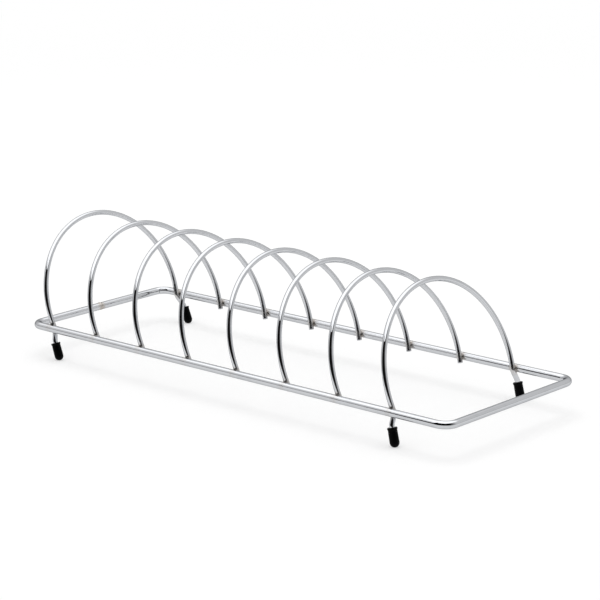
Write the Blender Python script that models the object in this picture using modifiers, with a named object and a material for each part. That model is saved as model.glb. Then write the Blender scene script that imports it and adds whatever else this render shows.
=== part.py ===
"""Toast rack: a bent wire frame, eight leaning wire hoops and four rubber foot caps.

Metres, +Z up. X runs along the rack, the hoops lean towards -X, and Z = 0 is the table.
The origin is the middle of the rack's footprint.
"""
import bpy
import bmesh
from math import asin, atan2, cos, hypot, pi, radians, sin, tan
from mathutils import Matrix, Vector

# Base frame
FRAME_WIRE = 0.0045          # diameter
FRAME_WIDTH = 0.1103         # between the centres of the long rails
CORNER_RADIUS = 0.0070       # bend radius at the wire's centre
LEFT_RUN = 0.0153            # first hoop's feet to the centre of the left short rail
RIGHT_RUN = 0.0392           # last hoop's feet to the centre of the right short rail

# Hoops
HOOP_COUNT = 8
HOOP_PITCH = 0.0380
HOOP_WIRE = 0.0030           # diameter
HOOP_LEAN = radians(18.8)    # top of the hoop towards -X
HOOP_RISE = 0.0078           # centre of the circle above the rails, along the lean
END_HOOP_RISE = 0.0088       # the same on the two hoops that carry the legs
WELD_SINK = 0.0006           # how far the two wires are pressed into each other
HOOP_TAIL = 0.0032           # wire left below the rail's centre on a hoop without legs

# Legs, which are the wire of the two end hoops carried on below the rails
LEG_DROP = 0.0028            # straight wire below the rail before the outward bend
LEG_FALL = 0.0029            # height over which the leg moves out under the rail
LEG_BEND = 0.0040            # bend radius at the wire's centre, less where the run is short
LEG_COLLAR = 0.0027          # straight wire between the lower bend and the cap's rim
FOOT_INSET = 0.0001          # foot inside the rail's centre line, measured at the cap's end
FOOT_SPLAY = 0.02            # outward slope of the cap
LEFT_FOOT_RUN = 0.0066       # first hoop's feet to the end of the cap, along X
LEFT_FOOT_SLOPE = 0.37       # cap's slope along X
RIGHT_FOOT_RUN = 0.0033
RIGHT_FOOT_SLOPE = 0.23

# Rubber foot caps
CAP_LENGTH = 0.0108
CAP_WALL = 0.0009
CAP_RIM = 0.00015            # how far the rim stands proud of the body
CAP_RIM_HEIGHT = 0.0010
CAP_END_WALL = 0.0026        # rubber below the wire's end
CAP_FLAT = 0.00025           # depth worn flat where the cap stands on the table

# Fits
WELD_GAP = 0.0003
CAP_CLEARANCE = 0.0003

# Most of a straight run that one bend may take up, so that two bends never meet
BEND_SHARE = 0.45

# Smoothness
FRAME_CORNER_STEPS = 8
HOOP_STEPS = 44
BEND_STEPS = 4
CAP_SIDES = 20
CAP_END_STEPS = 5

# Derived sizes
RAIL_Y = FRAME_WIDTH / 2
FOOT_Y = RAIL_Y - (FRAME_WIRE + HOOP_WIRE) / 2 + WELD_SINK
BORE_RADIUS = HOOP_WIRE / 2 + CAP_CLEARANCE
CAP_RADIUS = BORE_RADIUS + CAP_WALL
HOOP_OVERHANG = (hypot(FOOT_Y, END_HOOP_RISE) + END_HOOP_RISE) * sin(HOOP_LEAN) + HOOP_WIRE / 2
LEFT_END = -max(LEFT_RUN + FRAME_WIRE / 2, HOOP_OVERHANG)
RIGHT_END = (HOOP_COUNT - 1) * HOOP_PITCH + RIGHT_RUN + FRAME_WIRE / 2
FIRST_X = -(LEFT_END + RIGHT_END) / 2
LAST_X = FIRST_X + (HOOP_COUNT - 1) * HOOP_PITCH


def cap_axis(side, slope):
    """Unit vector up the cap: side is -1 at the front and 1 at the back."""
    return Vector((-slope, -side * FOOT_SPLAY, 1.0)).normalized()


def bend_height(slope):
    """Height above the table of the leg's lower bend, which lies in line with the cap."""
    return CAP_RADIUS - CAP_FLAT + cap_axis(1, slope).z * (CAP_LENGTH - CAP_RADIUS + LEG_COLLAR)


# The caps, the bends and the drop stack up to the height of the frame wire's centre
FOOT_ANGLE = atan2(END_HOOP_RISE, FOOT_Y)
RAIL_HEIGHT = (max(bend_height(LEFT_FOOT_SLOPE), bend_height(RIGHT_FOOT_SLOPE))
               + LEG_FALL + LEG_DROP * cos(FOOT_ANGLE) * cos(HOOP_LEAN))


def clear_scene():
    for obj in list(bpy.data.objects):
        bpy.data.objects.remove(obj, do_unlink=True)


def new_collection(name):
    collection = bpy.data.collections.new(name)
    bpy.context.scene.collection.children.link(collection)
    return collection


def new_material(name, color, metallic, roughness):
    material = bpy.data.materials.new(name)
    material.use_nodes = True
    shader = material.node_tree.nodes["Principled BSDF"]
    shader.inputs["Base Color"].default_value = (*color, 1.0)
    shader.inputs["Metallic"].default_value = metallic
    shader.inputs["Roughness"].default_value = roughness
    return material


def wire_curve(name, points, diameter, sides_setting, closed=False):
    """A tube along the points, as a curve object."""
    curve = bpy.data.curves.new(name, "CURVE")
    curve.dimensions = "3D"
    curve.bevel_depth = diameter / 2
    curve.bevel_resolution = sides_setting
    curve.use_fill_caps = not closed
    spline = curve.splines.new("POLY")
    spline.points.add(len(points) - 1)
    for spot, point in zip(spline.points, points):
        spot.co = (*point, 1.0)
    spline.use_cyclic_u = closed
    obj = bpy.data.objects.new(name, curve)
    parts.objects.link(obj)
    return obj


def curve_to_mesh(curve_object):
    """The same tube as a mesh, with its end caps welded on."""
    name = curve_object.name
    bpy.context.view_layer.update()
    evaluated = curve_object.evaluated_get(bpy.context.evaluated_depsgraph_get())
    mesh = bpy.data.meshes.new_from_object(evaluated)
    shape = bmesh.new()
    shape.from_mesh(mesh)
    bmesh.ops.remove_doubles(shape, verts=shape.verts, dist=1e-6)
    shape.to_mesh(mesh)
    shape.free()
    placement = curve_object.matrix_world.copy()
    bpy.data.objects.remove(curve_object, do_unlink=True)
    obj = bpy.data.objects.new(name, mesh)
    obj.matrix_world = placement
    parts.objects.link(obj)
    return obj


def bend_corner(before, corner, after, radius, steps):
    """Points of the arc that rounds a corner between two straight runs."""
    back = (before - corner).normalized()
    ahead = (after - corner).normalized()
    half_angle = back.angle(ahead) / 2
    shorter_run = min((before - corner).length, (after - corner).length)
    setback = min(radius / tan(half_angle), shorter_run * BEND_SHARE)
    radius = setback * tan(half_angle)
    centre = corner + (back + ahead).normalized() * (radius / sin(half_angle))
    start = corner + back * setback - centre
    turn_axis = start.cross(corner + ahead * setback - centre).normalized()
    turn = pi - 2 * half_angle
    return [centre + Matrix.Rotation(turn * i / steps, 3, turn_axis) @ start
            for i in range(steps + 1)]


def make_base_frame(material):
    """One bent wire round the foot of the rack, closed by a butt weld."""
    left = FIRST_X - LEFT_RUN
    right = LAST_X + RIGHT_RUN
    corners = [Vector((left, -RAIL_Y, 0.0)), Vector((right, -RAIL_Y, 0.0)),
               Vector((right, RAIL_Y, 0.0)), Vector((left, RAIL_Y, 0.0))]
    points = []
    for i, corner in enumerate(corners):
        before = corners[i - 1]
        after = corners[(i + 1) % len(corners)]
        points += bend_corner(before, corner, after, CORNER_RADIUS, FRAME_CORNER_STEPS)
    frame = wire_curve("base_frame", points, FRAME_WIRE, 4, closed=True)
    frame.location.z = RAIL_HEIGHT
    frame.data.materials.append(material)
    frame.parent = rack
    return frame


def hoop_arc(rise, tail):
    """The circle from its back foot, over the top, to its front foot, in the hoop's plane.

    The circle meets both rails at their level, and tail is what goes on below them.
    """
    radius = hypot(FOOT_Y, rise)
    below = asin((rise + tail) / radius)
    points = []
    for i in range(HOOP_STEPS + 1):
        angle = (pi + 2 * below) * i / HOOP_STEPS - below
        points.append(Vector((0.0, radius * cos(angle), rise + radius * sin(angle))))
    return points


def cap_end_centre(hoop_x, side, foot_run):
    """Centre of the cap's round end."""
    return Vector((hoop_x + foot_run, side * (RAIL_Y - FOOT_INSET), CAP_RADIUS - CAP_FLAT))


def leg_points(hoop_x, side, foot_run, slope, lean_rotation):
    """The leg below the rail, from its upper bend to the wire's end inside the cap."""
    foot = Vector((0.0, side * FOOT_Y, 0.0))
    tangent = Vector((0.0, -side * sin(FOOT_ANGLE), -cos(FOOT_ANGLE)))
    origin = Vector((hoop_x, 0.0, RAIL_HEIGHT))
    start = origin + lean_rotation @ foot
    upper_bend = start + lean_rotation @ tangent * LEG_DROP
    axis = cap_axis(side, slope)
    end_centre = cap_end_centre(hoop_x, side, foot_run)
    rim = end_centre + axis * (CAP_LENGTH - CAP_RADIUS)
    lower_bend = rim + axis * LEG_COLLAR
    wire_end = rim - axis * (CAP_LENGTH - CAP_END_WALL - CAP_CLEARANCE)
    points = bend_corner(start, upper_bend, lower_bend, LEG_BEND, BEND_STEPS)
    points += bend_corner(upper_bend, lower_bend, wire_end, LEG_BEND, BEND_STEPS)
    points.append(wire_end)
    return [lean_rotation.inverted() @ (point - origin) for point in points]


def make_hoop(name, hoop_x, material, foot=None):
    """A hoop that leans towards -X. foot is the run and slope of its two caps, or None."""
    lean_rotation = Matrix.Rotation(-HOOP_LEAN, 3, "Y")
    if foot is None:
        points = hoop_arc(HOOP_RISE, HOOP_TAIL)
    else:
        back_leg = leg_points(hoop_x, 1, *foot, lean_rotation)
        front_leg = leg_points(hoop_x, -1, *foot, lean_rotation)
        points = back_leg[::-1] + hoop_arc(END_HOOP_RISE, 0.0) + front_leg
    curve = wire_curve(name, points, HOOP_WIRE, 3)
    curve.location = (hoop_x, 0.0, RAIL_HEIGHT)
    curve.rotation_euler.y = -HOOP_LEAN
    hoop = curve_to_mesh(curve)
    hoop.data.materials.clear()
    hoop.data.materials.append(material)
    hoop.data.shade_smooth()
    hoop.parent = rack
    for cutter in rail_cutters:
        saddle = hoop.modifiers.new("weld_saddle", "BOOLEAN")
        saddle.operation = "DIFFERENCE"
        saddle.solver = "EXACT"
        saddle.object = cutter
    return hoop


def make_rail_cutter(name, side):
    """A rod round a long rail, as wide as the rail and the gap at its welds."""
    bpy.ops.mesh.primitive_cylinder_add(
        vertices=24, radius=FRAME_WIRE / 2 + WELD_GAP, depth=RIGHT_END - LEFT_END,
        location=(0.0, side * RAIL_Y, RAIL_HEIGHT), rotation=(0.0, pi / 2, 0.0))
    return file_cutter(name)


def make_table_cutter():
    """A block under the table's plane, which leaves the flat on each foot cap."""
    thickness = 0.02
    bpy.ops.mesh.primitive_cube_add(size=1.0, location=(0.0, 0.0, -thickness / 2))
    cutter = file_cutter("table_cutter")
    cutter.scale = (1.2 * (RIGHT_END - LEFT_END), 2.0 * FRAME_WIDTH, thickness)
    return cutter


def file_cutter(name):
    """Names the new primitive and moves it to the cutters' collection."""
    cutter = bpy.context.active_object
    cutter.name = name
    for collection in list(cutter.users_collection):
        collection.objects.unlink(cutter)
    cutters.objects.link(cutter)
    cutter.hide_render = True
    cutter.display_type = "WIRE"
    return cutter


def cap_profile():
    """Half section of a cap: up its bore, over the rim, down the outside to the round end."""
    bore_bottom = CAP_END_WALL - CAP_LENGTH
    rim_radius = CAP_RADIUS + CAP_RIM
    points = [(0.0, bore_bottom), (BORE_RADIUS, bore_bottom), (BORE_RADIUS, 0.0),
              (rim_radius, 0.0), (rim_radius, -CAP_RIM_HEIGHT / 2), (CAP_RADIUS, -CAP_RIM_HEIGHT)]
    end_centre = CAP_RADIUS - CAP_LENGTH
    for i in range(CAP_END_STEPS):
        angle = pi / 2 * i / CAP_END_STEPS
        points.append((CAP_RADIUS * cos(angle), end_centre - CAP_RADIUS * sin(angle)))
    points.append((0.0, -CAP_LENGTH))
    return points


def make_foot_cap(name, hoop_x, side, foot_run, slope, material):
    """A push-on rubber cap, turned about its own Z with its rim at the origin."""
    profile = cap_profile()
    mesh = bpy.data.meshes.new(name)
    mesh.from_pydata([(x, 0.0, z) for x, z in profile],
                     [(i, i + 1) for i in range(len(profile) - 1)], [])
    cap = bpy.data.objects.new(name, mesh)
    parts.objects.link(cap)
    axis = cap_axis(side, slope)
    cap.location = cap_end_centre(hoop_x, side, foot_run) + axis * (CAP_LENGTH - CAP_RADIUS)
    cap.rotation_euler = axis.to_track_quat("Z", "Y").to_euler()
    turn = cap.modifiers.new("turn", "SCREW")
    turn.axis = "Z"
    turn.steps = CAP_SIDES
    turn.render_steps = CAP_SIDES
    turn.use_merge_vertices = True
    turn.merge_threshold = 0.00001
    flat = cap.modifiers.new("flat", "BOOLEAN")
    flat.operation = "DIFFERENCE"
    flat.solver = "EXACT"
    flat.object = table_cutter
    cap.data.materials.append(material)
    cap.parent = rack
    return cap


clear_scene()
parts = new_collection("toast_rack")
cutters = new_collection("cutters")
rack = bpy.data.objects.new("rack", None)
parts.objects.link(rack)
chrome = new_material("chromed_wire", (0.80, 0.81, 0.82), 1.0, 0.12)
rubber = new_material("black_rubber", (0.015, 0.015, 0.017), 0.0, 0.55)

rail_cutters = [make_rail_cutter("front_rail_cutter", -1), make_rail_cutter("back_rail_cutter", 1)]
table_cutter = make_table_cutter()

make_base_frame(chrome)
end_feet = {"left": (FIRST_X, LEFT_FOOT_RUN, LEFT_FOOT_SLOPE),
            "right": (LAST_X, RIGHT_FOOT_RUN, RIGHT_FOOT_SLOPE)}
for end, (end_x, run, slope) in end_feet.items():
    make_hoop(f"end_hoop_{end}", end_x, chrome, (run, slope))
    for depth, side in (("front", -1), ("back", 1)):
        make_foot_cap(f"foot_cap_{end}_{depth}", end_x, side, run, slope, rubber)
for number in range(2, HOOP_COUNT):
    make_hoop(f"hoop_{number}", FIRST_X + (number - 1) * HOOP_PITCH, chrome)
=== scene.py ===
# Toast rack: chromed wire hoops on a bent wire frame, standing on black rubber caps.
# Metres, in the model's own frame: X along the rack, hoops leaning towards -X, Z = 0 the table.
import bpy
import bmesh
from math import asin, atan2, cos, exp, hypot, pi, radians, sin, tan
from mathutils import Matrix, Vector, noise


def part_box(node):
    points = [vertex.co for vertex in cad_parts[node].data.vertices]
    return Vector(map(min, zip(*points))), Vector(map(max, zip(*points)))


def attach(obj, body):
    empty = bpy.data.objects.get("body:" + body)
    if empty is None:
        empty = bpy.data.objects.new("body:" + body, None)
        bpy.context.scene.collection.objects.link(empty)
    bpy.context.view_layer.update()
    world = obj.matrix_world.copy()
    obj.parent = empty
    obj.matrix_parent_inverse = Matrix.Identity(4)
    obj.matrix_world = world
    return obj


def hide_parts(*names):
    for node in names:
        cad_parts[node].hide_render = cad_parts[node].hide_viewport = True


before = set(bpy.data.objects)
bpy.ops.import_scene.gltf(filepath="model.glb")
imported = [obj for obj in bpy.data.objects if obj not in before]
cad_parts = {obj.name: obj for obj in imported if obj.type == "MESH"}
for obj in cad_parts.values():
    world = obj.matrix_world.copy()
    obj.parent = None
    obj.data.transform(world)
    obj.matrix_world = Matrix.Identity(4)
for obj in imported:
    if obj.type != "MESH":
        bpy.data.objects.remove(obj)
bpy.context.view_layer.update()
print("frame loaded:", len(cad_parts), "solids")

# Everything below is placed from the boxes of the model's own solids
frameLow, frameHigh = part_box("base_frame")
frameWire = frameHigh.z - frameLow.z
railZ = (frameHigh.z + frameLow.z) / 2
railY = frameHigh.y - frameWire / 2
leftRailX = frameLow.x + frameWire / 2
rightRailX = frameHigh.x - frameWire / 2
hoopCount = 2 + sum(name.startswith("hoop_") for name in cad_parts)
hoopPitch = (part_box(f"hoop_{hoopCount - 1}")[0].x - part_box("hoop_2")[0].x) / (hoopCount - 3)

wireSharpAngle = radians(38)      # cut ends keep an edge, the wire stays smooth


def lineLengths(points, closed=False):
    # running length at each point, and the whole length
    total = [0.0]
    for before, after in zip(points, points[1:]):
        total.append(total[-1] + (after - before).length)
    whole = total[-1] + ((points[0] - points[-1]).length if closed else 0.0)
    return total, whole


def bendCorner(before, corner, after, radius, steps):
    # arc that rounds a corner between two straight runs
    back = (before - corner).normalized()
    ahead = (after - corner).normalized()
    halfAngle = back.angle(ahead) / 2
    shorter = min((before - corner).length, (after - corner).length)
    setback = min(radius / tan(halfAngle), 0.45 * shorter)
    centre = corner + (back + ahead).normalized() * (setback / cos(halfAngle))
    start = corner + back * setback - centre
    axis = start.cross(corner + ahead * setback - centre).normalized()
    turn = pi - 2 * halfAngle
    return [centre + Matrix.Rotation(turn * i / steps, 3, axis) @ start for i in range(steps + 1)]


def spacedAlong(points, stepAt, fine=0.00005, shortestStep=0.00008):
    # the same line with rings where stepAt(point) asks for them
    total = lineLengths(points)[0]
    kept = [points[0].copy()]
    sinceLast = 0.0
    for before, after, start, end in zip(points, points[1:], total, total[1:]):
        pieces = max(1, int((end - start) / fine))
        for i in range(1, pieces + 1):
            spot = before.lerp(after, i / pieces)
            sinceLast += (end - start) / pieces
            if sinceLast >= stepAt(spot):
                kept.append(spot)
                sinceLast = 0.0
    if sinceLast > shortestStep:
        kept.append(points[-1].copy())
    else:
        kept[-1] = points[-1].copy()
    return kept


def carriedFrames(points, closed=False):
    # tangent and two side vectors at each point, turned as little as possible
    count = len(points)
    tangents = []
    for i in range(count):
        ahead = points[(i + 1) % count] if closed or i < count - 1 else points[i]
        back = points[i - 1] if closed or i > 0 else points[i]
        tangents.append((ahead - back).normalized())
    side = tangents[0].orthogonal().normalized()
    frames = []
    for tangent in tangents:
        side = (side - tangent * side.dot(tangent)).normalized()
        frames.append((tangent, side, tangent.cross(side)))
    return frames


def sweepWire(name, points, radius, sides, closed=False, shape=None, bevel=0.0, heat=None):
    # a wire along the points; shape(centre, outward, along) gives extra radius, and
    # the straightened wire's own coordinates are kept for the drawing lines
    mesh = bmesh.new()
    coordLayer = mesh.verts.layers.float_vector.new("wireCoord")
    heatLayer = mesh.verts.layers.float.new("weldHeat")
    frames = carriedFrames(points, closed)
    total, whole = lineLengths(points, closed)
    twist = 0.0
    if closed:
        # spread the leftover turn of the side vectors round the loop
        side = frames[-1][1]
        carried = side - frames[0][0] * side.dot(frames[0][0])
        twist = -atan2(carried.dot(frames[0][2]), carried.dot(frames[0][1]))

    def ring(centre, side, other, ringRadius, along, turned):
        verts = []
        for k in range(sides):
            angle = 2 * pi * k / sides + turned
            outward = side * cos(angle) + other * sin(angle)
            extra = shape(centre, outward, along) if shape else 0.0
            vert = mesh.verts.new(centre + outward * (ringRadius + extra))
            vert[coordLayer] = (along, cos(angle) * radius, sin(angle) * radius)
            vert[heatLayer] = heat(vert.co, along) if heat else 0.0
            verts.append(vert)
        return verts

    rings = []
    for centre, (tangent, side, other), along in zip(points, frames, total):
        rings.append(ring(centre, side, other, radius, along, twist * along / whole))
    loops = list(zip(rings, rings[1:]))
    if closed:
        loops.append((rings[-1], rings[0]))
    for lower, upper in loops:
        for k in range(sides):
            mesh.faces.new((lower[k], lower[(k + 1) % sides], upper[(k + 1) % sides], upper[k]))
    if not closed:
        for end, outwardSign, flip in ((0, -1, True), (-1, 1, False)):
            tangent, side, other = frames[end]
            last = rings[end]
            if bevel:
                # two rings round the edge off: how far in, and how far out, as shares of the bevel
                for share, push in ((0.45, 0.55), (1.0, 0.85)):
                    centre = points[end] + tangent * outwardSign * bevel * push
                    inner = ring(centre, side, other, radius - bevel * share, total[end], 0.0)
                    for k in range(sides):
                        quad = (last[k], last[(k + 1) % sides], inner[(k + 1) % sides], inner[k])
                        mesh.faces.new(quad[::-1] if flip else quad)
                    last = inner
            tip = mesh.verts.new(points[end] + tangent * outwardSign * bevel * 0.95)
            tip[coordLayer] = (total[end], 0.0, 0.0)
            tip[heatLayer] = heat(tip.co, total[end]) if heat else 0.0
            for k in range(sides):
                fan = (last[k], last[(k + 1) % sides], tip)
                mesh.faces.new(fan[::-1] if flip else fan)
    bmesh.ops.recalc_face_normals(mesh, faces=mesh.faces)
    data = bpy.data.meshes.new(name)
    mesh.to_mesh(data)
    mesh.free()
    obj = bpy.data.objects.new(name, data)
    bpy.context.scene.collection.objects.link(obj)
    data.shade_smooth()
    if not closed:
        data.set_sharp_from_angle(angle=wireSharpAngle)
    return obj


def addNode(tree, kind, inputs=None, **settings):
    node = tree.nodes.new(kind)
    for key, value in settings.items():
        setattr(node, key, value)
    for key, value in (inputs or {}).items():
        if isinstance(value, bpy.types.NodeSocket):
            tree.links.new(value, node.inputs[key])
        else:
            node.inputs[key].default_value = value
    return node


def newMaterial(name):
    material = bpy.data.materials.new(name)
    material.use_nodes = True
    tree = material.node_tree
    return material, tree, tree.nodes["Principled BSDF"]


chromeLook = {
    "color": (0.588, 0.598, 0.619, 1.0),
    "smudgeColor": (0.546, 0.556, 0.576, 1.0),
    "heatColor": (0.47, 0.435, 0.40, 1.0),
    "edgeTint": (0.50, 0.505, 0.515, 1.0),      # chromium dips a little before the grazing edge
    "roughness": 0.030,
    "smudgeRoughness": 0.075,
    "weldRoughness": 0.36,
    "smudgeScale": 95.0,
    "smudgeFrom": 0.50,
    "smudgeTo": 0.74,
    "scorchScale": 900.0,      # the uneven edge of the tint round a weld
    "scorchFrom": 0.17,
    "scorchTo": 0.50,
    "scorchDepth": 0.00009,
    "drawingScale": (90.0, 5200.0, 5200.0),     # long streaks along the wire
    "drawingDepth": 0.000002,
    "rippleScale": 330.0,
    "rippleDepth": 0.000010,
}


def makeChrome():
    # bright plate over drawn wire: streaks along the wire, faint ripples, handling smudges
    material, tree, shader = newMaterial("chromedWire")
    coord = addNode(tree, "ShaderNodeAttribute", attribute_name="wireCoord")
    heat = addNode(tree, "ShaderNodeAttribute", attribute_name="weldHeat")
    stretched = addNode(tree, "ShaderNodeVectorMath", {0: coord.outputs["Vector"],
                                                       1: chromeLook["drawingScale"]},
                        operation="MULTIPLY")
    streaks = addNode(tree, "ShaderNodeTexNoise", {"Vector": stretched.outputs[0], "Scale": 1.0,
                                                   "Detail": 3.0, "Roughness": 0.6})
    ripples = addNode(tree, "ShaderNodeTexNoise", {"Vector": coord.outputs["Vector"],
                                                   "Scale": chromeLook["rippleScale"], "Detail": 1.5})
    place = addNode(tree, "ShaderNodeNewGeometry")
    smudges = addNode(tree, "ShaderNodeTexNoise", {"Vector": place.outputs["Position"],
                                                   "Scale": chromeLook["smudgeScale"], "Detail": 4.0,
                                                   "Roughness": 0.62, "Distortion": 0.6})
    smudge = addNode(tree, "ShaderNodeMapRange", {"Value": smudges.outputs["Fac"],
                                                  "From Min": chromeLook["smudgeFrom"],
                                                  "From Max": chromeLook["smudgeTo"]})
    cleanColor = addNode(tree, "ShaderNodeMix", {0: smudge.outputs[0], 6: chromeLook["color"],
                                                 7: chromeLook["smudgeColor"]}, data_type="RGBA")
    scorchNoise = addNode(tree, "ShaderNodeTexNoise", {"Vector": place.outputs["Position"],
                                                       "Scale": chromeLook["scorchScale"],
                                                       "Detail": 5.0, "Roughness": 0.7})
    scorch = addNode(tree, "ShaderNodeMath", {0: heat.outputs["Fac"], 1: scorchNoise.outputs["Fac"]},
                     operation="MULTIPLY")
    scorchEdge = addNode(tree, "ShaderNodeMapRange", {"Value": scorch.outputs[0],
                                                      "From Min": chromeLook["scorchFrom"],
                                                      "From Max": chromeLook["scorchTo"]})
    color = addNode(tree, "ShaderNodeMix", {0: scorchEdge.outputs[0], 6: cleanColor.outputs[2],
                                            7: chromeLook["heatColor"]}, data_type="RGBA")
    smudged = addNode(tree, "ShaderNodeMapRange", {"Value": smudge.outputs[0],
                                                   "To Min": chromeLook["roughness"],
                                                   "To Max": chromeLook["smudgeRoughness"]})
    rough = addNode(tree, "ShaderNodeMapRange", {"Value": scorchEdge.outputs[0], "To Min": 0.0,
                                                 "To Max": chromeLook["weldRoughness"]})
    roughness = addNode(tree, "ShaderNodeMath", {0: smudged.outputs[0], 1: rough.outputs[0]},
                        operation="ADD")
    streakBump = addNode(tree, "ShaderNodeBump", {"Strength": 1.0, "Distance": chromeLook["drawingDepth"],
                                                  "Height": streaks.outputs["Fac"]})
    rippleBump = addNode(tree, "ShaderNodeBump", {"Strength": 1.0, "Distance": chromeLook["rippleDepth"],
                                                  "Height": ripples.outputs["Fac"],
                                                  "Normal": streakBump.outputs[0]})
    weldBump = addNode(tree, "ShaderNodeBump", {"Strength": 1.0, "Distance": chromeLook["scorchDepth"],
                                                "Height": scorch.outputs[0],
                                                "Normal": rippleBump.outputs[0]})
    tree.links.new(color.outputs[2], shader.inputs["Base Color"])
    tree.links.new(roughness.outputs[0], shader.inputs["Roughness"])
    tree.links.new(weldBump.outputs[0], shader.inputs["Normal"])
    shader.inputs["Metallic"].default_value = 1.0
    shader.inputs["Specular Tint"].default_value = chromeLook["edgeTint"]
    return material


def dress(obj, material, slotName, *nodeNames):
    # give the piece its finish and put it in place of the model's own solid
    obj.data.materials.append(material)
    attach(obj, "root")
    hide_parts(*nodeNames)


hoopStyle = {
    "wire": 0.0030,            # diameter
    "lean": radians(18.8),
    "leftRun": 0.0153,         # centre of the left short rail to the first hoop's feet
    "rise": 0.0078,            # circle's centre above the rails, along the lean
    "endRise": 0.0088,         # the same on the two hoops that carry the legs
    "weldSink": 0.0006,        # how far the wires are pressed into each other
    "tail": 0.0032,            # wire below the rail's centre on a plain hoop
    "sides": 28,
    "step": 0.0011,            # ring spacing away from the welds
    "weldStep": 0.00028,       # ring spacing at the welds
    "weldZone": 0.0062,        # how far from the rail's centre that spacing goes
    "legStep": 0.0006,
    "endBevel": 0.00028,
}

legStyle = {
    "leave": 0.0024,           # how far it keeps the hoop's direction below the rail
    "arrive": 0.0018,          # how early it takes the cap's direction
    "collar": 0.0006,          # straight wire above the cap
    "splay": 0.02,             # outward slope, across the rack
    "slopes": {"left": 0.37, "right": 0.23},    # slope along the rack, for each pair
    "endGap": 0.0003,          # from the wire's end to the bore's floor
    "steps": 40,
}

weldStyle = {
    "reach": 0.00095,          # how far from the rail the melted metal climbs the hoop
    "height": 0.00050,         # how far it stands off the hoop at the rail
    "unevenness": 0.55,
    "lumpScale": 900,          # lumps in a metre
    "heatReach": 0.0044,       # how far the tint of the weld's heat spreads
}

firstX = leftRailX + hoopStyle["leftRun"]
footY = railY - (frameWire + hoopStyle["wire"]) / 2 + hoopStyle["weldSink"]
weldPoints = [Vector((firstX + i * hoopPitch, side * (footY + railY) / 2, railZ))
              for i in range(hoopCount) for side in (-1, 1)]


def weldHeatAt(point, along=0.0):
    # 1 at a weld, fading with distance; sweepWire also gives the place along the wire, unused here
    nearest = min((point - weld).length for weld in weldPoints)
    return exp(-(nearest / weldStyle["heatReach"]) ** 2)


def hoopArc(rise, tail, steps=400):
    # upright arc over the rack, with its ends the given length below the rails
    radius = hypot(footY, rise)
    below = asin((rise + tail) / radius)
    return [Vector((0.0, radius * cos(angle), rise + radius * sin(angle)))
            for angle in ((pi + 2 * below) * i / steps - below for i in range(steps + 1))]


def easedCurve(start, startPull, end, endPull, steps):
    # smooth bend from one point to another, leaving and arriving along the two pulls
    first = start + startPull
    second = end + endPull
    return [start * (1 - t) ** 3 + first * 3 * t * (1 - t) ** 2
            + second * 3 * t * t * (1 - t) + end * t ** 3
            for t in (i / steps for i in range(steps + 1))]


def legPath(end, side, hoopX):
    # from the hoop's foot, out under the rail and down into the cap
    lean = Matrix.Rotation(-hoopStyle["lean"], 3, "Y")
    footAngle = atan2(hoopStyle["endRise"], footY)
    start = Vector((hoopX, side * footY, railZ))
    down = lean @ Vector((0.0, -side * sin(footAngle), -cos(footAngle)))
    rim, axis = capPlace(end, side)
    wireEnd = rim - axis * (capStyle["length"] - capStyle["endWall"] - legStyle["endGap"])
    return easedCurve(start, down * legStyle["leave"], rim + axis * legStyle["collar"],
                      axis * legStyle["arrive"], legStyle["steps"]) + [wireEnd]


def makeHoop(nodeName, number, end=None):
    # end is left or right for the two hoops that carry the legs
    hoopX = firstX + (number - 1) * hoopPitch
    lean = Matrix.Rotation(-hoopStyle["lean"], 3, "Y")
    place = Vector((hoopX, 0.0, railZ))
    if end is None:
        dense = [place + lean @ p for p in hoopArc(hoopStyle["rise"], hoopStyle["tail"])]
    else:
        dense = [place + lean @ p for p in hoopArc(hoopStyle["endRise"], 0.0)]
        dense = legPath(end, 1, hoopX)[::-1] + dense + legPath(end, -1, hoopX)

    def stepAt(spot):
        fromRail = hypot(abs(spot.y) - railY, spot.z - railZ)
        if fromRail < hoopStyle["weldZone"]:
            return hoopStyle["weldStep"]
        return hoopStyle["legStep"] if spot.z < railZ else hoopStyle["step"]

    points = spacedAlong(dense, stepAt)
    radius = hoopStyle["wire"] / 2
    seed = Vector((number * 3.7, number * 1.3, 0.0))     # so that no two hoops' welds are alike

    def shape(centre, outward, along):
        # metal squeezed out of the weld climbs the hoop as a small uneven fillet
        spot = centre + outward * radius
        gap = hypot(abs(spot.y) - railY, spot.z - railZ) - frameWire / 2
        if gap > weldStyle["reach"]:
            return 0.0
        climb = (1 - max(gap, 0.0) / weldStyle["reach"]) ** 2
        uneven = 1 + weldStyle["unevenness"] * noise.noise(spot * weldStyle["lumpScale"] + seed)
        return weldStyle["height"] * climb * uneven

    obj = sweepWire(f"hoop{number}", points, radius, hoopStyle["sides"], shape=shape,
                    bevel=hoopStyle["endBevel"], heat=weldHeatAt)
    dress(obj, chrome, "chromed_wire", nodeName)


frameStyle = {
    "corner": 0.0070,          # bend radius at the wire's centre
    "sides": 36,
    "step": 0.0012,
    "cornerSteps": 16,
    "buttBulge": 0.00016,      # how far the butt weld's ring stands proud
    "buttWidth": 0.00035,
    "buttShift": 0.00010,      # mismatch of the two wire ends at the butt weld
    "buttShiftReach": 0.0009,
    "buttLumps": 0.5,
    "buttLumpScale": 2.1,
    "buttLumpSeed": (3.0, 7.0, 1.0),
    "buttOutside": 0.35,       # what is left of the ring where it is dressed flush outside
    "buttHeat": 1.05,
    "buttHeatReach": 0.0030,
    "buttZone": 0.0016,        # rings are close together this near to the butt weld
    "buttStep": 0.00010,
    "cornerZone": 0.012,
    "cornerStep": 0.00075,
}


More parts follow.
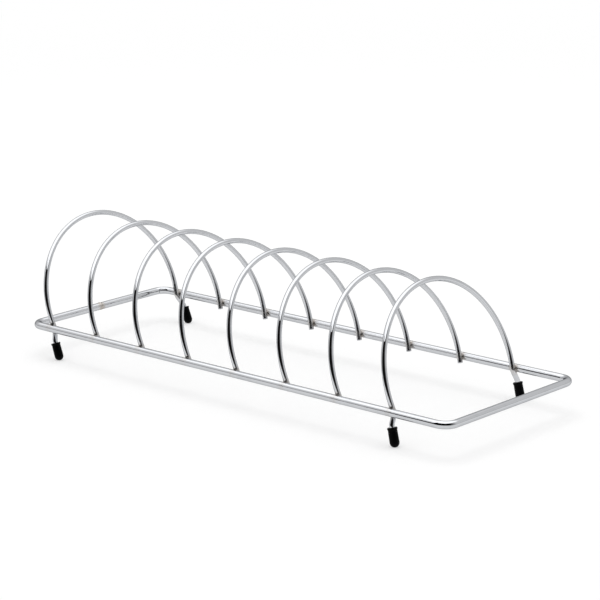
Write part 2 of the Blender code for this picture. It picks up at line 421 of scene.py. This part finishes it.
def framePath():
    # the rectangle's centre line with its corners rounded;
    # it starts and ends at the butt weld in the middle of the left short rail
    start = Vector((leftRailX, 0.0, railZ))
    corners = [Vector((leftRailX, -railY, railZ)), Vector((rightRailX, -railY, railZ)),
               Vector((rightRailX, railY, railZ)), Vector((leftRailX, railY, railZ))]
    points = [start]
    for i, corner in enumerate(corners):
        before = corners[i - 1]
        after = corners[(i + 1) % 4]
        points += bendCorner(before, corner, after, frameStyle["corner"], frameStyle["cornerSteps"])
    points.append(start)
    return points


def makeBaseFrame():
    dense = framePath()

    def stepAt(spot):
        fromButt = (spot - dense[0]).length
        if fromButt < frameStyle["buttZone"]:
            return frameStyle["buttStep"]
        nearEnd = abs(spot.x) > min(abs(leftRailX), rightRailX) - frameStyle["cornerZone"]
        nearSide = abs(spot.y) > railY - frameStyle["cornerZone"]
        return frameStyle["cornerStep"] if nearEnd and nearSide else frameStyle["step"]

    points = spacedAlong(dense, stepAt)[:-1]
    whole = lineLengths(points, closed=True)[1]

    def shape(centre, outward, along):
        # the raised ring of the butt weld, and the small step between the two wire ends
        fromButt = min(along, whole - along)
        ring = frameStyle["buttBulge"] * exp(-(fromButt / frameStyle["buttWidth"]) ** 2)
        lumpSpot = outward * frameStyle["buttLumpScale"] + Vector(frameStyle["buttLumpSeed"])
        lumps = 1.0 + frameStyle["buttLumps"] * noise.noise(lumpSpot)
        step = frameStyle["buttShift"] * outward.z * exp(-along / frameStyle["buttShiftReach"])
        if outward.x < -0.75:      # the side that faces out
            ring *= frameStyle["buttOutside"]
        return ring * lumps + step

    def heat(point, along):
        fromButt = min(along, whole - along)
        butt = frameStyle["buttHeat"] * exp(-(fromButt / frameStyle["buttHeatReach"]) ** 2)
        return max(weldHeatAt(point), butt)

    obj = sweepWire("baseFrame", points, frameWire / 2, frameStyle["sides"], closed=True,
                    shape=shape, heat=heat)
    dress(obj, chrome, "chromed_wire", "base_frame")


capStyle = {
    "length": 0.0108,
    "radius": 0.0027,
    "rim": 0.00014,
    "rimHeight": 0.0011,
    "neck": 0.00012,           # how much thinner the body is just below the rim
    "endWall": 0.0026,
    "flat": 0.00025,
    "lip": 0.00022,
    "grip": 0.00003,           # gap between the rubber and the wire at the mouth
    "mouth": 0.0004,           # how deep the mouth's flare goes
    "shoulder": 0.0002,        # height of the step under the rim
    "seam": 0.00004,           # height of the mould's parting line
    "seamWidth": 0.00012,
    "seamFrom": 0.0018,        # no parting line nearer to the axis than this
    "edgeAngle": 50,
    "sides": 96,
}

rubberLook = {
    "color": (0.0007, 0.0008, 0.0010, 1.0),
    "dustColor": (0.020, 0.021, 0.023, 1.0),
    "roughness": 0.34,
    "roughnessSpread": 0.10,
    "sheen": 0.04,             # kept low: the face stays deep black
    "dustRoughness": 0.72,
    "dustTop": 0.55,           # dust starts this share of the length below the rim
    "dustAmount": 0.9,
    "speckScale": 1500.0,
    "speckFrom": 0.52,
    "speckTo": 0.80,
    "speckAmount": 0.5,
    "grainScale": 5200.0,
    "grainStrength": 0.6,
    "grainDepth": 0.000012,
}


def makeRubber():
    # soft moulded rubber: satin black, fine grain, a little table dust round the foot
    material, tree, shader = newMaterial("blackRubber")
    place = addNode(tree, "ShaderNodeAttribute", attribute_name="capCoord")
    split = addNode(tree, "ShaderNodeSeparateXYZ", {0: place.outputs["Vector"]})
    low = addNode(tree, "ShaderNodeMapRange", {"Value": split.outputs["Z"],
                                               "From Min": -capStyle["length"],
                                               "From Max": -rubberLook["dustTop"] * capStyle["length"],
                                               "To Min": rubberLook["dustAmount"], "To Max": 0.0})
    specks = addNode(tree, "ShaderNodeTexNoise", {"Vector": place.outputs["Vector"],
                                                  "Scale": rubberLook["speckScale"],
                                                  "Detail": 6.0, "Roughness": 0.72})
    speckMask = addNode(tree, "ShaderNodeMapRange", {"Value": specks.outputs["Fac"],
                                                     "From Min": rubberLook["speckFrom"],
                                                     "From Max": rubberLook["speckTo"],
                                                     "To Max": rubberLook["speckAmount"]})
    dust = addNode(tree, "ShaderNodeMath", {0: low.outputs[0], 1: speckMask.outputs[0]},
                   operation="MULTIPLY")
    color = addNode(tree, "ShaderNodeMix", {0: dust.outputs[0], 6: rubberLook["color"],
                                            7: rubberLook["dustColor"]}, data_type="RGBA")
    rough = addNode(tree, "ShaderNodeMapRange", {"Value": specks.outputs["Fac"],
                                                 "From Min": 0.3, "From Max": 0.7,
                                                 "To Min": rubberLook["roughness"],
                                                 "To Max": (rubberLook["roughness"]
                                                            + rubberLook["roughnessSpread"])})
    dusty = addNode(tree, "ShaderNodeMix", {0: dust.outputs[0], 2: rough.outputs[0],
                                            3: rubberLook["dustRoughness"]}, data_type="FLOAT")
    grain = addNode(tree, "ShaderNodeTexNoise", {"Vector": place.outputs["Vector"],
                                                 "Scale": rubberLook["grainScale"], "Detail": 2.0})
    bump = addNode(tree, "ShaderNodeBump", {"Strength": rubberLook["grainStrength"],
                                            "Distance": rubberLook["grainDepth"],
                                            "Height": grain.outputs["Fac"]})
    tree.links.new(color.outputs[2], shader.inputs["Base Color"])
    tree.links.new(dusty.outputs[0], shader.inputs["Roughness"])
    tree.links.new(bump.outputs[0], shader.inputs["Normal"])
    shader.inputs["Specular IOR Level"].default_value = rubberLook["sheen"]
    return material


def cornerName(end, side):
    return end + ("_front" if side < 0 else "_back")


def capPlace(end, side):
    # rim centre and upward axis of a foot cap, from its box
    low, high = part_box("foot_cap_" + cornerName(end, side))
    axis = Vector((-legStyle["slopes"][end], -side * legStyle["splay"], 1.0)).normalized()
    reach = capStyle["radius"]
    centreY = high.y - reach if side > 0 else low.y + reach
    endCentre = Vector((high.x - reach, centreY, reach - capStyle["flat"]))
    return endCentre + axis * (capStyle["length"] - reach), axis


def capProfile():
    # half section from the bore's mouth, over the lip and down the outside to the round end
    style = capStyle
    boreRadius = hoopStyle["wire"] / 2 + style["grip"]
    rimRadius = style["radius"] + style["rim"]
    lip = style["lip"]
    boreEnd = style["endWall"] - style["length"]
    points = [(boreRadius - lip, boreEnd), (boreRadius, boreEnd + lip),
              (boreRadius, -style["mouth"]), (boreRadius + 0.3 * lip, -0.3 * lip)]
    for i in range(5):
        angle = pi / 2 * i / 4
        points.append((rimRadius - lip + lip * sin(angle), -lip + lip * cos(angle)))
    bodyTop = -style["rimHeight"] - style["shoulder"]
    points += [(rimRadius, -0.6 * style["rimHeight"]),
               (rimRadius - 0.4 * style["rim"], -0.85 * style["rimHeight"]),
               (style["radius"] - style["neck"], bodyTop)]
    bodyEnd = style["radius"] - style["length"]
    for i in range(1, 9):
        share = i / 8
        bulge = style["neck"] * (1 - share) ** 2
        points.append((style["radius"] - bulge, bodyTop + (bodyEnd - bodyTop) * share))
    for i in range(1, 16):
        angle = pi / 2 * i / 15.5
        points.append((style["radius"] * cos(angle), bodyEnd - style["radius"] * sin(angle)))
    return points


def makeFootCap(end, side):
    # the half section turned round the cap's axis
    nodeName = "foot_cap_" + cornerName(end, side)
    sides = capStyle["sides"]
    rim, axis = capPlace(end, side)
    mesh = bmesh.new()
    coordLayer = mesh.verts.layers.float_vector.new("capCoord")
    rings = []
    for radius, height in capProfile():
        ring = []
        for k in range(sides):
            angle = 2 * pi * k / sides
            # parting line of the mould, down two opposite sides
            fromSeam = min(angle % pi, pi - angle % pi) * radius
            reach = radius
            if radius > capStyle["seamFrom"]:
                proud = capStyle["seam"] * exp(-(fromSeam / capStyle["seamWidth"]) ** 2)
                reach = radius + proud - capStyle["seam"]
            ring.append(mesh.verts.new((reach * cos(angle), reach * sin(angle), height)))
        rings.append(ring)
    for upper, lower in zip(rings, rings[1:]):
        for k in range(sides):
            mesh.faces.new((upper[k], lower[k], lower[(k + 1) % sides], upper[(k + 1) % sides]))
    mesh.faces.new(rings[0])
    tip = mesh.verts.new((0.0, 0.0, -capStyle["length"]))
    for k in range(sides):
        mesh.faces.new((rings[-1][k], tip, rings[-1][(k + 1) % sides]))
    bmesh.ops.recalc_face_normals(mesh, faces=mesh.faces)
    placement = Matrix.Translation(rim) @ axis.to_track_quat("Z", "Y").to_matrix().to_4x4()
    for vert in mesh.verts:
        vert[coordLayer] = vert.co
        vert.co = placement @ vert.co
        vert.co.z = max(vert.co.z, 0.0)      # pressed flat on the table
    data = bpy.data.meshes.new(nodeName + "_mesh")
    mesh.to_mesh(data)
    mesh.free()
    data.shade_smooth()
    data.set_sharp_from_angle(angle=radians(capStyle["edgeAngle"]))
    obj = bpy.data.objects.new("footCap_" + cornerName(end, side), data)
    bpy.context.scene.collection.objects.link(obj)
    dress(obj, rubber, "black_rubber", nodeName)


chrome = makeChrome()
rubber = makeRubber()
print("materials made")

makeBaseFrame()
print("base frame made")
makeHoop("end_hoop_left", 1, "left")
for number in range(2, hoopCount):
    makeHoop(f"hoop_{number}", number)
makeHoop("end_hoop_right", hoopCount, "right")
print("hoops made")
for end in ("left", "right"):
    for side in (-1, 1):
        makeFootCap(end, side)
print("foot caps made")

studio = {
    "floorSize": 14.0,
    "floorColor": (0.93, 0.93, 0.93, 1.0),
    "floorShade": (0.58, 0.58, 0.58, 1.0),    # what the shadows are drawn in on the white
    "floorLift": 0.43,
    "floorFadeFrom": 0.5,      # metres from the middle
    "floorFadeTo": 1.6,
    "floorRoughness": 0.9,
    "ambient": 0.80,
    "lampSize": 1.6,
    "lampPlace": (-0.35, 0.25, 2.0),
    "lampShare": 0.27,         # of the light that falls on the floor
}

# Panels round the rack that only its reflections meet. Angles are in degrees: turn 0 is +X and
# turn 90 is +Y, and heights are above the table.
tent = {
    "distance": 3.2,
    "from": -180,
    "to": 180,
    "low": 0,
    "high": 90,
    "wallLevel": 0.82,         # how bright the walls are
    "footDip": 0.24,           # and how much less so along the table
    "footFade": 9,
    "backTurn": 150,           # the foot is darker still towards here
    "backDip": 0.18,
    "backFade": 16,
    "level": 1.78,             # the bright top, between these two heights
    "start": 34,
    "full": 53,
    "tilt": 5,                 # the top comes this much further down on one side
    "tiltTo": -150,
}

darkSide = {
    "distance": 2.3,
    "from": -126,
    "to": 36,
    "low": 0,
    "high": 54,
    "level": 0.006,
    "fadeFrom": -24,           # from here it brightens to the tent's wall
    "footFade": 9,
    "footLevel": 0.14,
}

lowSide = {
    "distance": 2.6,
    "from": -166,
    "to": -118,
    "low": 0,
    "high": 13,
    "level": 0.16,
    "fadeOver": 22,
}

panelMesh = {
    "turnStep": 2.0,
    "heightStep": 1.5,
    "fewest": 12,
}


def whiteRays(tree):
    # 1 where the camera, a mirror or a clear thing looks, 0 for light that falls on the object
    path = addNode(tree, "ShaderNodeLightPath")
    both = addNode(tree, "ShaderNodeMath", {0: path.outputs["Is Camera Ray"],
                                            1: path.outputs["Is Glossy Ray"]},
                   operation="MAXIMUM")
    return addNode(tree, "ShaderNodeMath", {0: both.outputs[0], 1: path.outputs["Is Transmission Ray"]},
                   operation="MAXIMUM").outputs[0]


def makeFloor():
    bpy.ops.mesh.primitive_plane_add(size=studio["floorSize"], location=(0, 0, 0))
    floor = bpy.context.active_object
    floor.name = "floor"
    material, tree, shader = newMaterial("floorPaper")
    seen = whiteRays(tree)
    color = addNode(tree, "ShaderNodeMix", {0: seen, 6: studio["floorColor"],
                                            7: studio["floorShade"]}, data_type="RGBA")
    lift = addNode(tree, "ShaderNodeMapRange", {"Value": seen, "To Min": 0.0,
                                                "To Max": studio["floorLift"]})
    tree.links.new(color.outputs[2], shader.inputs["Base Color"])
    tree.links.new(lift.outputs[0], shader.inputs["Emission Strength"])
    shader.inputs["Emission Color"].default_value = (1.0, 1.0, 1.0, 1.0)
    shader.inputs["Roughness"].default_value = studio["floorRoughness"]
    shader.inputs["Specular IOR Level"].default_value = 0.0
    # runs into the white background further out, and is clear from below
    where = addNode(tree, "ShaderNodeNewGeometry")
    outward = addNode(tree, "ShaderNodeVectorMath", {0: where.outputs["Position"]}, operation="LENGTH")
    far = addNode(tree, "ShaderNodeMapRange", {"Value": outward.outputs["Value"],
                                               "From Min": studio["floorFadeFrom"],
                                               "From Max": studio["floorFadeTo"]},
                  interpolation_type="SMOOTHSTEP")
    fade = addNode(tree, "ShaderNodeMath", {0: far.outputs[0], 1: seen}, operation="MULTIPLY")
    white = addNode(tree, "ShaderNodeEmission", {"Strength": 1.0})
    paper = addNode(tree, "ShaderNodeMixShader", {0: fade.outputs[0], 1: shader.outputs[0],
                                                  2: white.outputs[0]})
    clear = addNode(tree, "ShaderNodeBsdfTransparent")
    oneSided = addNode(tree, "ShaderNodeMixShader", {0: where.outputs["Backfacing"], 1: paper.outputs[0],
                                                     2: clear.outputs[0]})
    tree.links.new(oneSided.outputs[0], tree.nodes["Material Output"].inputs["Surface"])
    floor.data.materials.append(material)


def makeWorld():
    world = bpy.data.worlds.new("studio")
    bpy.context.scene.world = world
    world.use_nodes = True
    tree = world.node_tree
    background = tree.nodes["Background"]
    background.inputs["Color"].default_value = (1.0, 1.0, 1.0, 1.0)
    strength = addNode(tree, "ShaderNodeMapRange", {"Value": whiteRays(tree), "To Min": studio["ambient"],
                                                    "To Max": 1.0})
    tree.links.new(strength.outputs[0], background.inputs["Strength"])


def makeLamp():
    # round soft lamp for the shadows
    data = bpy.data.lights.new("softLamp", "AREA")
    data.shape = "DISK"
    data.size = studio["lampSize"]
    place = Vector(studio["lampPlace"])
    data.energy = studio["lampShare"] * pi * pi * place.length ** 2
    lamp = bpy.data.objects.new("softLamp", data)
    lamp.location = place
    lamp.rotation_euler = place.to_track_quat("Z", "Y").to_euler()
    lamp.visible_camera = False
    lamp.visible_glossy = False
    bpy.context.scene.collection.objects.link(lamp)


def smooth(value, low, high):
    # 0 below low, 1 above high, eased between
    share = min(max((value - low) / (high - low), 0.0), 1.0)
    return share * share * (3 - 2 * share)


def tentLevel(turn, height):
    # pale walls under a bright top, which comes further down on one side
    leaning = height + tent["tilt"] * cos(radians(turn - tent["tiltTo"]))
    behind = max(0.0, cos(radians(turn - tent["backTurn"]))) ** 2
    dip = tent["footDip"] + tent["backDip"] * behind
    wall = tent["wallLevel"] - dip * (1 - smooth(height, 0.0, tent["footFade"] + tent["backFade"] * behind))
    return wall + (tent["level"] - wall) * smooth(leaning, tent["start"], tent["full"])


def darkSideLevel(turn, height):
    # nearly black, a little lighter along the table
    across = smooth(turn, darkSide["fadeFrom"], darkSide["to"])
    foot = (1 - smooth(height, 0.0, darkSide["footFade"])) * darkSide["footLevel"]
    dark = max(darkSide["level"], foot)
    return dark + (tent["wallLevel"] - dark) * across


def lowSideLevel(turn, height):
    # a soft-edged dark strip just above the table
    middle = (lowSide["low"] + lowSide["high"]) / 2
    upright = 1 - smooth(abs(height - middle), 0.0, middle)
    across = smooth(turn, lowSide["from"], lowSide["from"] + lowSide["fadeOver"])
    return tent["wallLevel"] + (lowSide["level"] - tent["wallLevel"]) * upright * across


def makePanel(name, style, levelAt):
    # part of a sphere round the rack, glowing as levelAt(turn, height) says
    mesh = bmesh.new()
    glowLayer = mesh.verts.layers.float.new("glow")
    across = max(panelMesh["fewest"], round((style["to"] - style["from"]) / panelMesh["turnStep"]))
    upward = max(panelMesh["fewest"], round((style["high"] - style["low"]) / panelMesh["heightStep"]))
    rows = []
    for j in range(upward + 1):
        height = style["low"] + (style["high"] - style["low"]) * j / upward
        row = []
        for i in range(across + 1):
            turn = style["from"] + (style["to"] - style["from"]) * i / across
            spread = cos(radians(height))
            away = Vector((cos(radians(turn)) * spread, sin(radians(turn)) * spread, sin(radians(height))))
            vert = mesh.verts.new(away * style["distance"])
            vert[glowLayer] = levelAt(turn, height)
            row.append(vert)
        rows.append(row)
    for lower, upper in zip(rows, rows[1:]):
        for i in range(across):
            mesh.faces.new((lower[i], lower[i + 1], upper[i + 1], upper[i]))
    data = bpy.data.meshes.new(name)
    mesh.to_mesh(data)
    mesh.free()
    panel = bpy.data.objects.new(name, data)
    bpy.context.scene.collection.objects.link(panel)
    material = bpy.data.materials.new(name + "Glow")
    material.use_nodes = True
    tree = material.node_tree
    tree.nodes.remove(tree.nodes["Principled BSDF"])
    glow = addNode(tree, "ShaderNodeAttribute", attribute_name="glow")
    shine = addNode(tree, "ShaderNodeEmission", {"Strength": glow.outputs["Fac"]})
    tree.links.new(shine.outputs[0], tree.nodes["Material Output"].inputs["Surface"])
    data.materials.append(material)
    panel.visible_camera = False
    panel.visible_diffuse = False
    panel.visible_shadow = False


cameraStyle = {
    "place": (0.9132, -0.9933, 0.3991),
    "heading": 42.290,         # degrees from +Y towards -X
    "downward": 14.567,
    "roll": -0.736,
    "lens": 145.34,
    "sensor": 36.0,
    "nearest": 0.05,
    "farthest": 20.0,
}


def makeCamera():
    data = bpy.data.cameras.new("camera")
    data.lens = cameraStyle["lens"]
    data.sensor_width = cameraStyle["sensor"]
    data.clip_start = cameraStyle["nearest"]
    data.clip_end = cameraStyle["farthest"]
    camera = bpy.data.objects.new("camera", data)
    turn = (Matrix.Rotation(radians(cameraStyle["heading"]), 4, "Z")
            @ Matrix.Rotation(radians(90 - cameraStyle["downward"]), 4, "X")
            @ Matrix.Rotation(radians(cameraStyle["roll"]), 4, "Z"))
    camera.matrix_world = Matrix.Translation(cameraStyle["place"]) @ turn
    bpy.context.scene.collection.objects.link(camera)
    bpy.context.scene.camera = camera


makeFloor()
makeWorld()
makeLamp()
makePanel("tent", tent, tentLevel)
makePanel("darkSide", darkSide, darkSideLevel)
makePanel("lowSide", lowSide, lowSideLevel)
makeCamera()
bpy.context.scene.view_settings.view_transform = "Standard"
print("floor, light and camera made")
